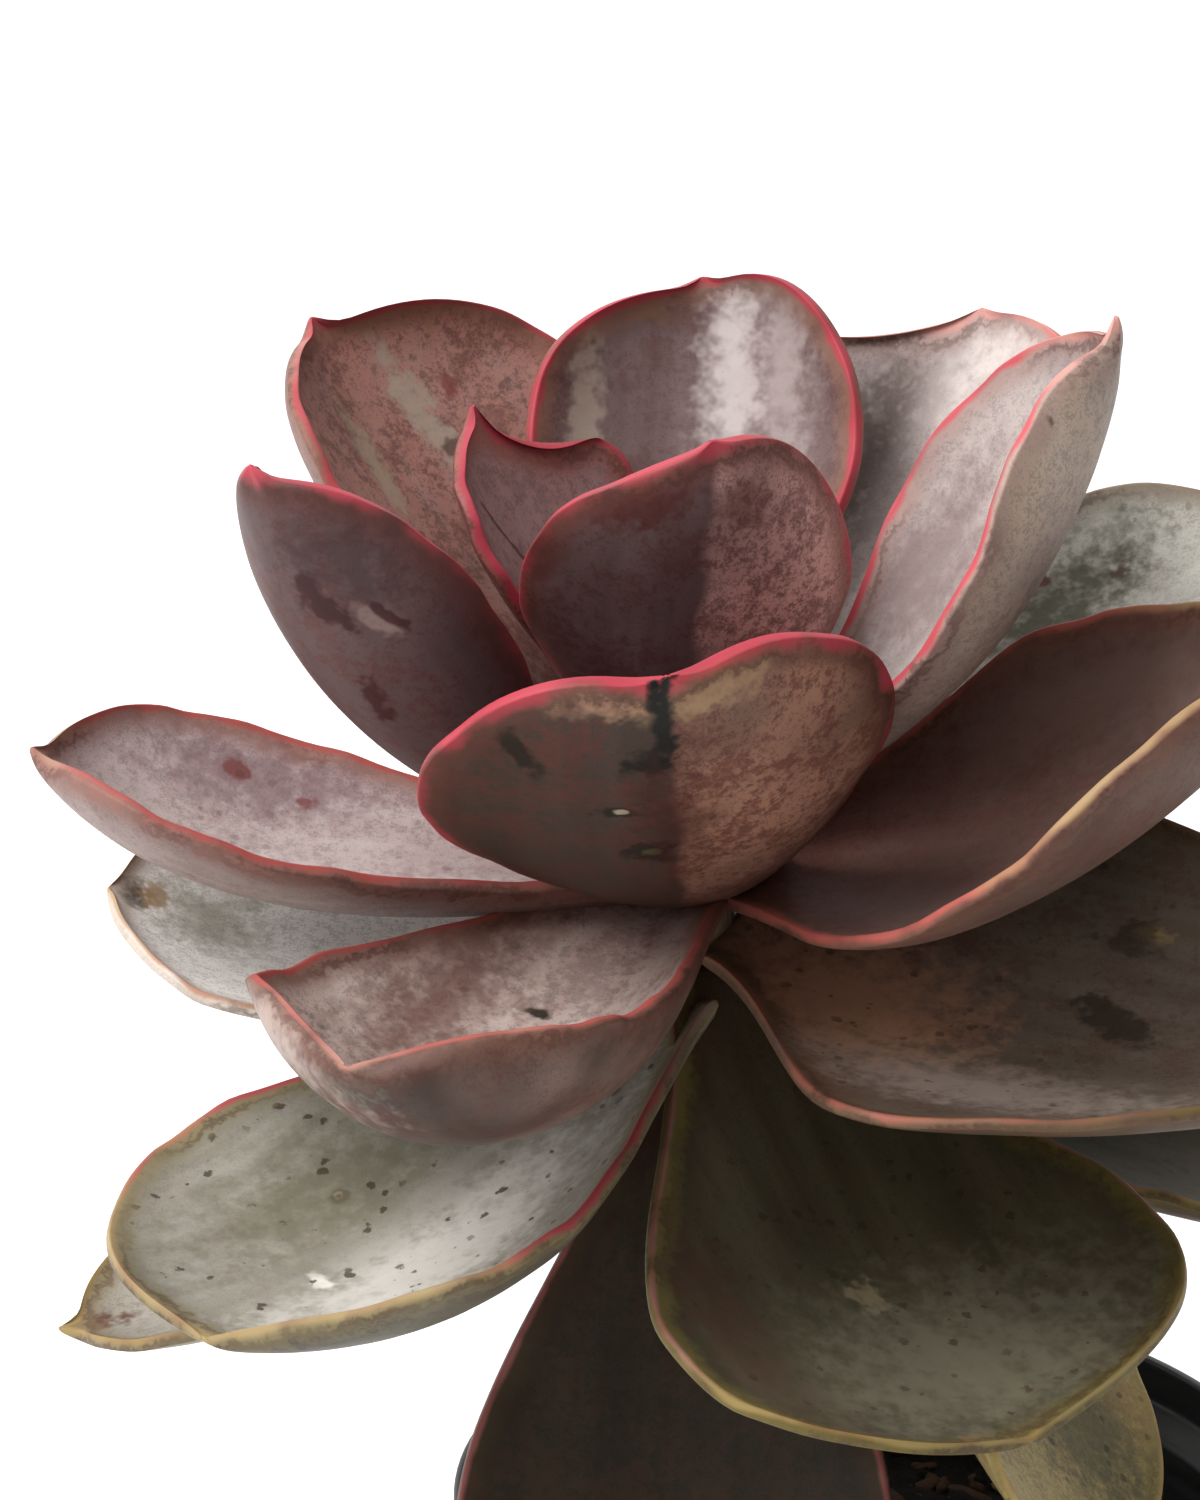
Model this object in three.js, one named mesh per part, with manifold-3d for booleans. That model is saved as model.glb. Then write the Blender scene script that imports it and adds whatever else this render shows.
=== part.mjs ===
// A potted red sky echeveria: one rosette of broad, cupped, fleshy leaves on a short leaning stem, standing in
// the soil of a plain black pot. Millimetres, +Z up. The origin is the middle of the pot's underside, and the
// rosette is seen from -Y, with 0 degrees along +X and 90 degrees along +Y.
import * as THREE from 'three'
import { mergeVertices } from 'three/addons/utils/BufferGeometryUtils.js'
import Module from 'manifold-3d'

const wasm = await Module()
wasm.setup()

const degree = Math.PI / 180
const { lerp, smoothstep } = THREE.MathUtils

// Clearance between neighbouring pieces
const gap = 0.3

// Pot
const potHeight = 85
const rimRadius = 52
const baseRadius = 37
const potWall = 1.4
const floorThickness = 1.6
const lipHeight = 8
const lipStep = 3.6
const edgeRound = 0.6
const drainRadius = 4
const drainCircle = 24
const drainCount = 6
const drainSides = 16
const potSides = 40

// Soil: its lumps are two ripples, given in radians to a millimetre
const soilBelowRim = 18
const soilRelief = 1.1
const soilRings = 6
const broadLump = 0.19
const fineLump = 0.56
const fineLumpShare = 0.4

// Stem: upright in the soil, then leaning to the crown, where the lower leaves spring from
const crown = new THREE.Vector3(-23, 0, 165)
const stemDepth = 20
const stemTop = 21
const stemFootRadius = 6.2
const stemCrownRadius = 5.2
const stemTopRadius = 3.2
const stemSides = 12
const upperStemLean = -0.1
const scarSpacing = 8
const scarHeight = 0.5

// Every leaf: steps along its midrib, how far from the middle of the stem it begins, how its rows crowd
// towards the tip, the share of the curl at the root, the thinnest flesh, how much of the flesh lies on the
// hollow face, how much thicker it is at the root and thinner at the tip, where it starts to thin out,
// where its shoulders begin to run ahead, and how far the pointed tip turns inwards as it runs out
const midribSteps = 120
const rootReach = 4
const rowCrowding = 1.15
const rootCurl = 0.75
const thinnest = 0.8
const innerShare = 0.35
const rootThick = 1.15
const tipThick = 0.55
const tipThinning = 6
const shoulderStart = 0.55
const hookLift = 0.3

const potMaterial = new THREE.MeshStandardMaterial({ color: 0x1c1c1b, roughness: 0.55, metalness: 0 })
const soilMaterial = new THREE.MeshStandardMaterial({ color: 0x2b2520, roughness: 0.95, metalness: 0 })
const stemMaterial = new THREE.MeshStandardMaterial({ color: 0x7a6652, roughness: 0.85, metalness: 0 })
const leafMaterials = {
  upper: new THREE.MeshStandardMaterial({ color: 0x7f6668, roughness: 0.6, metalness: 0 }),
  middle: new THREE.MeshStandardMaterial({ color: 0x9c8a87, roughness: 0.6, metalness: 0 }),
  lower: new THREE.MeshStandardMaterial({ color: 0x8e8c7a, roughness: 0.65, metalness: 0 }),
  oldest: new THREE.MeshStandardMaterial({ color: 0x82805f, roughness: 0.7, metalness: 0 }),
}

// What a leaf has unless its own line says otherwise.
// base and peak: share of the full width at the root, and where along the leaf it is widest.
// blunt: how square the end is. cup, lobe: how far the halves on the rising and the falling side of turn
// curl up, in degrees, and how far each shoulder runs past the tip. roll: twist about the midrib.
// swing: sideways bend. wave: height of the ripples at the edge, and how many. hook: length of the pointed
// tip. rows, columns: of the mesh.
const usualLeaf = {
  base: 0.27, peak: 0.66, blunt: 2.6, cup: [30, 30], lobe: [0, 0], roll: [0, 0, 0],
  swing: 0, wave: 0, waves: 2, hook: 1.6, thick: 3.6, edge: 1.4, rows: 9, columns: 6,
}

// Full leaves from the heart outwards. turn: direction. at: height of the root above the crown.
// rise: slope of the midrib at the root, in the middle and at the tip.
const leaves = [
  { turn: 150, at: 18, length: 42, width: 37, rise: [48, 56, 66], cup: [40, 40], lobe: [0, -5], hook: 2.2,
    tone: 'upper' },
  { turn: 272, at: 14, length: 52, width: 40.5, rise: [55, 66, 78], cup: [40, 35], lobe: [1, -2],
    swing: 20, peak: 0.56, blunt: 2.1, hook: 0.8, tone: 'upper' },
  { turn: 85, at: 16, length: 58, width: 44, rise: [42, 55, 70], cup: [45, 45], lobe: [0, 3], peak: 0.64,
    hook: 1.4, tone: 'upper' },
  { turn: 216, at: 12, length: 77, width: 38, rise: [0, 45, 70], cup: [60, 80], roll: [8, 20, 8],
    hook: 1.8, tone: 'upper' },
  { turn: 345, at: 8, length: 78, width: 47, rise: [36, 52, 80], cup: [45, 66], roll: [0, 24, 5],
    hook: 3.2, tone: 'upper' },
  { turn: 149, at: 13, length: 67, width: 63, rise: [32, 45, 60], cup: [50, 50], lobe: [0, 1], hook: 2.2,
    tone: 'upper' },
  { turn: 45, at: 12, length: 68, width: 58, rise: [35, 44, 60], cup: [35, 25], lobe: [-5, 2], base: 0.2,
    hook: 1, tone: 'upper' },
  { turn: 266, at: 2, length: 65, width: 56, rise: [15, 42, 60], cup: [43, 18], lobe: [2, 3],
    roll: [4, 8, 14], base: 0.4, hook: 1.4, tone: 'upper' },
  { turn: 115, at: 5, length: 72, width: 50, rise: [18, 27, 40], cup: [40, 40], tone: 'middle' },
  { turn: 24, at: 4, length: 80, width: 46, rise: [14, 23, 33], cup: [45, 45], tone: 'middle' },
  { turn: 70, at: 1, length: 74, width: 48, rise: [6, 14, 26], cup: [35, 35], tone: 'middle' },
  { turn: 186, at: 2, length: 76, width: 44, rise: [-2, 9, 46], cup: [60, 40], roll: [-3, -8, -5],
    base: 0.5, hook: 1.8, tone: 'middle' },
  { turn: 327, at: 3, length: 84, width: 60, rise: [10, 25, 62], cup: [50, 40], roll: [18, 21, 5],
    peak: 0.52, tone: 'middle' },
  { turn: 242, at: 0, length: 75, width: 58, rise: [-8, -8, 63], cup: [78, 48], lobe: [1.5, 0], swing: -10,
    base: 0.36, peak: 0.6, blunt: 5, hook: 0.8, tone: 'middle' },
  { turn: 17, at: 0, length: 76, width: 40, rise: [9, 12, 14], tone: 'lower' },
  { turn: 334, at: -5, length: 84, width: 76, rise: [-12, -2, 12], cup: [20, 40], roll: [22, 14, 6],
    base: 0.18, peak: 0.42, blunt: 2, tone: 'middle' },
  { turn: 96, at: -3, length: 78, width: 50, rise: [0, 6, 14], cup: [35, 35], tone: 'middle' },
  { turn: 148, at: -8, length: 72, width: 46, rise: [-14, -9, -2], tone: 'lower' },
  { turn: 50, at: -9, length: 78, width: 48, rise: [-10, -4, 4], cup: [35, 35], tone: 'lower' },
  { turn: 182, at: -7, length: 66, width: 50, rise: [-2, 2, 33], roll: [-5, -11, -10], hook: 0.8,
    tone: 'middle' },
  { turn: 222, at: -12.5, length: 75, width: 70, rise: [-35, -20, 10], cup: [52, 23], lobe: [-1, 4],
    base: 0.32, peak: 0.62, hook: 0.8, tone: 'lower' },
  { turn: 302, at: -8, length: 75, width: 69, rise: [-50, -30, 0], cup: [25, 25], lobe: [0, 2], base: 0.24,
    peak: 0.68, hook: 0.6, tone: 'oldest' },
  { turn: 122, at: -13, length: 76, width: 48, rise: [-22, -16, -6], tone: 'lower' },
  { turn: 25, at: -14, length: 76, width: 48, rise: [-18, -14, -6], tone: 'lower' },
  { turn: 8, at: -19, length: 76, width: 44, rise: [-27, -22, -15], tone: 'oldest' },
  { turn: 74, at: -18, length: 74, width: 48, rise: [-30, -26, -16], tone: 'lower' },
  { turn: 265, at: -18, length: 66, width: 52, rise: [-55, -62, -50], cup: [20, 20], peak: 0.88,
    tone: 'oldest' },
  { turn: 148, at: -19, length: 66, width: 44, rise: [-28, -26, -16], cup: [25, 25], tone: 'lower' },
  { turn: 190, at: -22, length: 78, width: 38, rise: [-34, -24, -6], hook: 2.6, tone: 'oldest' },
  { turn: 348, at: -27, length: 76, width: 66, rise: [-42, -50, -45], cup: [25, 25], wave: 2,
    tone: 'oldest' },
  { turn: 48, at: -23, length: 66, width: 38, rise: [-34, -34, -30], cup: [22, 22], tone: 'oldest' },
  { turn: 114, at: -27, length: 62, width: 42, rise: [-42, -38, -25], cup: [22, 22], tone: 'oldest' },
]

// Heart: small leaves that shorten and close up as they go inwards
const heartCount = 8
const heartTurn = 20
const goldenAngle = 137.5
const heartAt = [20.5, 27]
const heartLength = [28, 7]
const heartRise = [66, 86]
const heartBend = [-10, 0, 6]
const heartWidthShare = 0.72
const heartThick = [3, 1.8]
const heartLeaf = { cup: [50, 50], edge: 1, rows: 6, columns: 4 }
const heartCoreRadius = 2.6
const heartCoreHeight = 7.8

// A value given at the root, in the middle and at the tip of a leaf, joined by one smooth curve
function between([root, middle, tip], u) {
  return root * (1 - u) * (1 - 2 * u) + middle * 4 * u * (1 - u) + tip * u * (2 * u - 1)
}

// Middle of the stem at a height over the crown
function stemPoint(at) {
  const fall = Math.max(at, potHeight - soilBelowRim - crown.z)
  const lean = at > 0 ? upperStemLean * at : -crown.x * (fall / (crown.z - potHeight + soilBelowRim)) ** 2
  return new THREE.Vector3(crown.x + lean, crown.y, crown.z + at)
}

// Share of the full half width at a place along the leaf
function widthShare(leaf, u) {
  if (u < leaf.peak) return leaf.base + (1 - leaf.base) * smoothstep(u, 0, leaf.peak)
  return Math.sqrt(Math.max(0, 1 - ((u - leaf.peak) / (1 - leaf.peak)) ** leaf.blunt))
}

// Direction of the midrib and of the two axes across it at a place along the leaf
function leafAxes(leaf, u) {
  const slope = between(leaf.rise, u) * degree
  const turn = (leaf.turn + leaf.swing * u * u) * degree
  const roll = between(leaf.roll, u) * degree
  const outward = new THREE.Vector3(Math.cos(turn), Math.sin(turn), 0)
  const along = outward.multiplyScalar(Math.cos(slope)).setZ(Math.sin(slope))
  const across = new THREE.Vector3(-Math.sin(turn), Math.cos(turn), 0).applyAxisAngle(along, roll)
  const inward = new THREE.Vector3().crossVectors(along, across)
  return { along, across, inward }
}

// Points of the midrib from root to tip
function midrib(leaf) {
  const turn = leaf.turn * degree
  const root = new THREE.Vector3(Math.cos(turn), Math.sin(turn), 0).multiplyScalar(rootReach)
  const points = [stemPoint(leaf.at).add(root)]
  for (let step = 1; step <= midribSteps; step++) {
    const { along } = leafAxes(leaf, (step - 0.5) / midribSteps)
    points.push(points[step - 1].clone().addScaledVector(along, leaf.length / midribSteps))
  }
  return points
}

// A point on the inner and one on the outer face, at share u of the length and t of the half width
function facePoints(leaf, middle, u, t) {
  const { along, across, inward } = leafAxes(leaf, u)
  const halfWidth = leaf.width / 2 * widthShare(leaf, u)
  const side = t > 0 ? 0 : 1
  const curl = leaf.cup[side] * degree * lerp(rootCurl, 1, smoothstep(u, 0, 0.5))
  const share = widthShare(leaf, u)
  const ripple = leaf.wave * t ** 4 * Math.sin(2 * Math.PI * (leaf.waves * u + side / 4)) * share
  const sideways = halfWidth * Math.sin(curl * t) / curl
  const lift = halfWidth * (1 - Math.cos(curl * t)) / curl + ripple
  const overhang = smoothstep(u, shoulderStart, 1) * Math.sin(Math.PI * share) * Math.abs(t) ** 1.5
  const point = middle.clone().addScaledVector(across, sideways).addScaledVector(inward, lift)
  const hook = u === 1 ? leaf.hook : 0
  point.addScaledVector(along, leaf.lobe[side] * overhang + hook).addScaledVector(inward, hook * hookLift)
  const normal = inward.clone().multiplyScalar(Math.cos(curl * t)).addScaledVector(across, -Math.sin(curl * t))
  const flesh = leaf.thick * lerp(rootThick, tipThick, u) - leaf.edge
  const body = flesh * (1 - Math.abs(t) ** 2.5) * Math.min(1, (1 - u) * tipThinning)
  const thickness = Math.max(thinnest, leaf.edge + body)
  const inner = point.clone().addScaledVector(normal, thickness * innerShare)
  const outer = point.clone().addScaledVector(normal, thickness * (innerShare - 1))
  return [inner, outer]
}

// A closed blade: two faces split alike, an edge all round and one point of each face at the tip
function leafGeometry(leaf) {
  const { rows, columns } = leaf
  const rib = midrib(leaf)
  const positions = []
  for (let row = 0; row <= rows; row++) {
    const u = Math.sin(row / rows * Math.PI / 2) ** rowCrowding
    const exact = u * midribSteps
    const low = Math.min(midribSteps - 1, Math.floor(exact))
    const middle = rib[low].clone().lerp(rib[low + 1], exact - low)
    const last = row === rows
    for (let column = 0; column <= (last ? 0 : columns); column++) {
      const t = last ? 0 : Math.sin((column / columns - 0.5) * Math.PI)
      for (const point of facePoints(leaf, middle, u, t)) positions.push(point.x, point.y, point.z)
    }
  }
  const lastRow = rows - 1
  const tip = rows * (columns + 1) * 2
  const index = (row, column, face) => (row * (columns + 1) + column) * 2 + face
  const faces = []
  const quad = (a, b, c, d) => faces.push(a, b, c, a, c, d)
  for (let column = 0; column < columns; column++) {
    for (let row = 0; row < lastRow; row++) {
      const corners = [[row, column], [row, column + 1], [row + 1, column + 1], [row + 1, column]]
      const [a, b, c, d] = corners.map(([r, k]) => index(r, k, 0))
      quad(d, c, b, a)
      quad(a + 1, b + 1, c + 1, d + 1)
    }
    faces.push(index(lastRow, column, 0), tip, index(lastRow, column + 1, 0))
    faces.push(index(lastRow, column, 1), index(lastRow, column + 1, 1), tip + 1)
    quad(index(0, column, 0), index(0, column + 1, 0), index(0, column + 1, 1), index(0, column, 1))
  }
  for (let row = 0; row < rows; row++) {
    const right = row < lastRow ? index(row + 1, 0, 0) : tip
    const left = row < lastRow ? index(row + 1, columns, 0) : tip
    quad(index(row, 0, 0), index(row, 0, 1), right + 1, right)
    quad(index(row, columns, 0), left, left + 1, index(row, columns, 1))
  }
  const geometry = new THREE.BufferGeometry()
  geometry.setAttribute('position', new THREE.Float32BufferAttribute(positions, 3))
  geometry.setIndex(faces)
  return geometry
}

// A mesh whose faces share their corners
function joined(geometry) {
  const bare = geometry.clone()
  bare.deleteAttribute('normal')
  bare.deleteAttribute('uv')
  return mergeVertices(bare, 1e-4)
}

// Moves every point of a mesh straight out from its surface
function grown(geometry, amount) {
  const wider = joined(geometry)
  wider.computeVertexNormals()
  const { position, normal } = wider.attributes
  for (let i = 0; i < position.count; i++) {
    position.setXYZ(i,
      position.getX(i) + normal.getX(i) * amount,
      position.getY(i) + normal.getY(i) * amount,
      position.getZ(i) + normal.getZ(i) * amount)
  }
  return wider
}

// A closed mesh as a solid that can be joined and cut
function solid(geometry) {
  const { attributes, index } = joined(geometry)
  return new wasm.Manifold(new wasm.Mesh({
    numProp: 3,
    vertProperties: new Float32Array(attributes.position.array),
    triVerts: new Uint32Array(index.array),
  }))
}

// The largest single body of a solid, as a three.js mesh
function meshOf(shape, name, material) {
  const largest = shape.decompose().sort((a, b) => b.volume() - a.volume())[0]
  const { vertProperties, triVerts } = largest.getMesh()
  const geometry = new THREE.BufferGeometry()
  geometry.setAttribute('position', new THREE.Float32BufferAttribute(vertProperties, 3))
  geometry.setIndex(Array.from(triVerts))
  geometry.computeVertexNormals()
  const mesh = new THREE.Mesh(geometry, material)
  mesh.name = name
  return mesh
}

// A shape turned about the upright axis, from a profile of [radius, height] points
function turned(profile, sides) {
  const points = profile.map(([radius, height]) => new THREE.Vector2(radius, height))
  return new THREE.LatheGeometry(points, sides).rotateX(Math.PI / 2)
}

// Radius of the pot's wall outside, at a height
function wallRadius(height) {
  return lerp(baseRadius, rimRadius - lipStep, height / (potHeight - lipHeight))
}

function potSolid() {
  const lipFoot = potHeight - lipHeight
  const inside = floorThickness + edgeRound
  const profile = [
    [0, 0],
    [baseRadius - edgeRound, 0],
    [baseRadius, edgeRound],
    [wallRadius(lipFoot) - edgeRound / 4, lipFoot - edgeRound],
    [rimRadius - edgeRound, lipFoot + edgeRound / 2],
    [rimRadius, lipFoot + edgeRound * 2],
    [rimRadius, potHeight - edgeRound],
    [rimRadius - edgeRound, potHeight],
    [rimRadius - potWall, potHeight - edgeRound / 3],
    [rimRadius - potWall, lipFoot + potWall * 1.5],
    [wallRadius(lipFoot) - potWall, lipFoot],
    [wallRadius(inside) - potWall, inside],
    [wallRadius(inside) - potWall - edgeRound, floorThickness],
    [0, floorThickness],
  ]
  let pot = solid(turned(profile, potSides))
  for (let hole = 0; hole < drainCount; hole++) {
    const drill = new THREE.CylinderGeometry(drainRadius, drainRadius, floorThickness * 4, drainSides)
    drill.rotateX(Math.PI / 2).translate(drainCircle, 0, 0).rotateZ(hole / drainCount * 2 * Math.PI)
    pot = pot.subtract(solid(drill))
  }
  return pot
}

// Low lumps of the potting mix
function soilBump(x, y) {
  const broad = Math.sin(x * broadLump + 1) * Math.cos(y * broadLump)
  const fine = Math.sin((x - y) * fineLump) * Math.cos(y * fineLump)
  return soilRelief * lerp(broad, fine, fineLumpShare)
}

function soilSolid(stem) {
  const top = potHeight - soilBelowRim
  const bottom = floorThickness + gap
  const reach = (height) => wallRadius(height) - potWall - gap
  const foot = bottom + edgeRound
  const profile = [[0, bottom], [reach(foot) - edgeRound, bottom], [reach(foot), foot]]
  const rim = reach(top - soilRelief)
  for (let ring = 0; ring <= soilRings; ring++) profile.push([rim * (1 - ring / soilRings), top])
  const ground = turned(profile, potSides)
  const { position } = ground.attributes
  for (let i = 0; i < position.count; i++) {
    if (position.getZ(i) < top - gap) continue
    position.setZ(i, top + soilBump(position.getX(i), position.getY(i)))
  }
  return solid(ground).subtract(stem)
}

// The stem as a turned body with leaf scars, leant over along its middle line
function stemGeometry() {
  const soilAt = potHeight - soilBelowRim - crown.z
  const footAt = soilAt - stemDepth
  const rings = Math.round((stemTop - footAt) / (scarSpacing / 2))
  const profile = [[0, footAt]]
  for (let ring = 0; ring <= rings; ring++) {
    const at = lerp(footAt, stemTop, ring / rings)
    const [end, share] = at < 0 ? [stemFootRadius, at / soilAt] : [stemTopRadius, at / stemTop]
    const scar = ring % 2 && at > soilAt ? scarHeight : 0
    profile.push([lerp(stemCrownRadius, end, share) + scar, at])
  }
  profile.push([0, stemTop])
  const stem = turned(profile, stemSides)
  const { position } = stem.attributes
  for (let i = 0; i < position.count; i++) {
    const middle = stemPoint(position.getZ(i))
    position.setXYZ(i, position.getX(i) + middle.x, position.getY(i) + middle.y, middle.z)
  }
  return stem
}

// The heart's small leaves, joined to the growing point that they close round
function heartGeometries() {
  const foot = stemTop + gap
  const profile = [
    [0, foot],
    [heartCoreRadius, foot],
    [heartCoreRadius * 0.7, foot + heartCoreHeight / 2],
    [0, foot + heartCoreHeight],
  ]
  const middle = stemPoint(foot)
  const parts = [turned(profile, stemSides).translate(middle.x, middle.y, crown.z)]
  for (let i = 0; i < heartCount; i++) {
    const share = i / (heartCount - 1)
    const length = lerp(...heartLength, share)
    const slope = lerp(...heartRise, share)
    parts.push(leafGeometry({
      ...usualLeaf,
      ...heartLeaf,
      turn: heartTurn + i * goldenAngle,
      at: lerp(...heartAt, share),
      length,
      width: length * heartWidthShare,
      rise: heartBend.map((bend) => slope + bend),
      thick: lerp(...heartThick, share),
    }))
  }
  return parts
}

const potted = new THREE.Group()
const stem = solid(stemGeometry())
const stemHole = solid(grown(stemGeometry(), gap))

potted.add(meshOf(potSolid(), 'pot', potMaterial))
potted.add(meshOf(soilSolid(stemHole), 'soil', soilMaterial))
potted.add(meshOf(stem, 'stem', stemMaterial))

const heartParts = heartGeometries()
let heart = solid(heartParts[0])
for (const part of heartParts.slice(1)) heart = heart.add(solid(part))
potted.add(meshOf(heart.subtract(stemHole), 'heart_leaves', leafMaterials.upper))

// Each full leaf gives way at its root to the stem and to the leaves inside it
const inside = [stemHole, ...heartParts.map((part) => solid(grown(part, gap)))]
leaves.forEach((shape, i) => {
  const leaf = { ...usualLeaf, ...shape }
  const geometry = leafGeometry(leaf)
  let blade = solid(geometry)
  for (const neighbour of inside) {
    if (blade.intersect(neighbour).volume() > 0) blade = blade.subtract(neighbour)
  }
  inside.push(solid(grown(geometry, gap)))
  potted.add(meshOf(blade, `leaf_${String(i + 1).padStart(2, '0')}`, leafMaterials[leaf.tone]))
})

export default potted
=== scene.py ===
import math
import random
from types import SimpleNamespace

import bpy
import numpy as np
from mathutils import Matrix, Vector, noise


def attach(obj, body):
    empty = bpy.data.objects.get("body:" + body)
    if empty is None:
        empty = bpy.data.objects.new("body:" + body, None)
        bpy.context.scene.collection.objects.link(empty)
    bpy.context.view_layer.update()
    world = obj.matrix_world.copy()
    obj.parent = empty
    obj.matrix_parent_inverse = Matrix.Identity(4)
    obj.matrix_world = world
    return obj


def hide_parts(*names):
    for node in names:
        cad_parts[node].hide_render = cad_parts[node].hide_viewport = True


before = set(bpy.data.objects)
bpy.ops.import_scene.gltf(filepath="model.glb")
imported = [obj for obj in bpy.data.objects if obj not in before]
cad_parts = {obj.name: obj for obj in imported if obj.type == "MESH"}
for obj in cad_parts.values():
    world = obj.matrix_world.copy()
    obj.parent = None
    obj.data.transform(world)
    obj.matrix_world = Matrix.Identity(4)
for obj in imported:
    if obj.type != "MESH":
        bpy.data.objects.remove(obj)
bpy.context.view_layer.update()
print("frame loaded,", len(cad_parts), "nodes")

# Metres and degrees all through, +Z up, with the rosette seen from -Y.
# 0 degrees is along +X and 90 degrees along +Y, away from the viewer.

view = dict(
    photo=(1200, 1500),         # pixels, across and down
    focal=4743,                 # pixels
    elevation=20,
    distance=0.56,              # camera to the crown
    crownAt=(692, 885),         # pixel that shows the crown
    sensor=36,                  # millimetres
)

plant = dict(
    crown=Vector((-0.023, 0, 0.165)),
    soilTop=0.067,
    stemTop=0.021,              # above the crown
    upperLean=-0.1,
)


def putCamera():
    focal, (across, down) = view["focal"], view["photo"]
    tilt = math.radians(view["elevation"])
    right = Vector((1, 0, 0))
    upward = Vector((0, math.sin(tilt), math.cos(tilt)))
    forward = Vector((0, math.cos(tilt), -math.sin(tilt)))
    sideways = (view["crownAt"][0] - across / 2) / focal
    below = (view["crownAt"][1] - down / 2) / focal
    data = bpy.data.cameras.new("camera")
    data.sensor_fit = "HORIZONTAL"
    data.sensor_width = view["sensor"]
    data.lens = view["sensor"] * focal / across
    camera = bpy.data.objects.new("camera", data)
    camera.location = plant["crown"] - view["distance"] * (forward + right * sideways - upward * below)
    camera.rotation_euler = (math.radians(90) - tilt, 0, 0)
    bpy.context.scene.collection.objects.link(camera)
    bpy.context.scene.camera = camera


putCamera()


# Small helpers for modelling

def clearSelection():
    if bpy.context.object and bpy.context.object.mode != "OBJECT":
        bpy.ops.object.mode_set(mode="OBJECT")
    bpy.ops.object.select_all(action="DESELECT")


def applyAll(piece):
    bpy.context.view_layer.objects.active = piece
    for modifier in list(piece.modifiers):
        bpy.ops.object.modifier_apply(modifier=modifier.name)


def pointsOf(piece):
    points = np.empty(len(piece.data.vertices) * 3)
    piece.data.vertices.foreach_get("co", points)
    return points.reshape(-1, 3)


def movePoints(piece, points):
    piece.data.vertices.foreach_set("co", np.asarray(points, float).ravel())
    piece.data.update()


def pointValues(piece, name, values, kind="FLOAT"):
    layer = piece.data.attributes.new(name, kind, "POINT")
    field = "vector" if kind == "FLOAT_VECTOR" else "value"
    layer.data.foreach_set(field, np.asarray(values, np.float32).ravel())


def smoothed(value, low, high):
    share = np.clip((value - low) / (high - low), 0, 1)
    return share * share * (3 - 2 * share)


def finishPiece(piece, name, slot, *nodes):
    piece.name = piece.data.name = name
    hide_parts(*nodes)
    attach(piece, "root")


# Small helpers for materials

def linear(text):
    channels = [int(text[i:i + 2], 16) / 255 for i in (0, 2, 4)]
    return tuple(c / 12.92 if c <= 0.04045 else ((c + 0.055) / 1.055) ** 2.4 for c in channels) + (1,)


class Finish:
    def __init__(self, name):
        self.material = bpy.data.materials.new(name)
        self.material.use_nodes = True
        self.tree = self.material.node_tree
        self.shader = self.tree.nodes["Principled BSDF"]

    def node(self, kind, inputs=(), **settings):
        made = self.tree.nodes.new(kind)
        for key, value in settings.items():
            setattr(made, key, value)
        for key, value in dict(inputs).items():
            self.feed(made.inputs[key], value)
        return made

    def feed(self, socket, value):
        if isinstance(value, bpy.types.NodeSocket):
            self.tree.links.new(value, socket)
        else:
            socket.default_value = value

    def attribute(self, name, output="Fac"):
        return self.node("ShaderNodeAttribute", attribute_name=name).outputs[output]

    def place(self):
        return self.node("ShaderNodeTexCoord").outputs["Object"]

    def mapped(self, vector, scale=(1, 1, 1), location=(0, 0, 0), turn=0, kind="POINT"):
        inputs = {"Vector": vector, "Location": location, "Scale": scale}
        inputs["Rotation"] = (0, 0, math.radians(turn))
        return self.node("ShaderNodeMapping", inputs, vector_type=kind).outputs["Vector"]

    def calc(self, operation, a, b=0.0):
        return self.node("ShaderNodeMath", {0: a, 1: b}, operation=operation).outputs[0]

    def noise(self, vector, scale, detail=2.0, roughness=0.5):
        inputs = {"Vector": vector, "Scale": scale, "Detail": detail, "Roughness": roughness}
        return self.node("ShaderNodeTexNoise", inputs).outputs["Fac"]

    def step(self, value, low, high, toLow=0.0, toHigh=1.0):
        inputs = {0: value, 1: low, 2: high, 3: toLow, 4: toHigh}
        return self.node("ShaderNodeMapRange", inputs, interpolation_type="SMOOTHSTEP").outputs[0]

    def mix(self, share, under, over):
        made = self.node("ShaderNodeMix", data_type="RGBA", clamp_factor=True)
        self.feed(made.inputs[0], share)
        self.feed(made.inputs[6], under)
        self.feed(made.inputs[7], over)
        return made.outputs[2]

    def length(self, vector):
        return self.node("ShaderNodeVectorMath", {0: vector}, operation="LENGTH").outputs["Value"]

    def bump(self, height, distance, strength, below=None):
        inputs = {"Height": height, "Distance": distance, "Strength": strength}
        if below is not None:
            inputs["Normal"] = below
        return self.node("ShaderNodeBump", inputs).outputs["Normal"]

    def shade(self, **inputs):
        for key, value in inputs.items():
            self.feed(self.shader.inputs[key.replace("_", " ")], value)


# The leaves: their shape follows the same rule and values as the solids, with finer edges and tips

leafRule = dict(
    steps=120, marginSteps=160, crowding=1.15,      # of the midrib, of the margin, of the rows at the tip
    rootReach=0.004, rootCurl=0.75, shoulderStart=0.55,
    thinnest=0.0008, innerShare=0.35,   # share of the flesh on the hollow side of the midrib
    rootThick=1.15, tipThick=0.55, tipThinning=6,
    inset=0.0002, insetFrom=0.8,        # keeps the finer edge inside the solid, at the tip from this share on
    keelFrom=(0.02, 0.3), keelTo=(0.9, 1), keelLoss=0.6,
    hookFrom=0.93, hookThinning=0.7,
    rippleStart=(2.4, 1.7),             # radians, for each leaf and each half
    secondRipple=(2.3, 0.6),            # its count and height against the first
)

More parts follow.
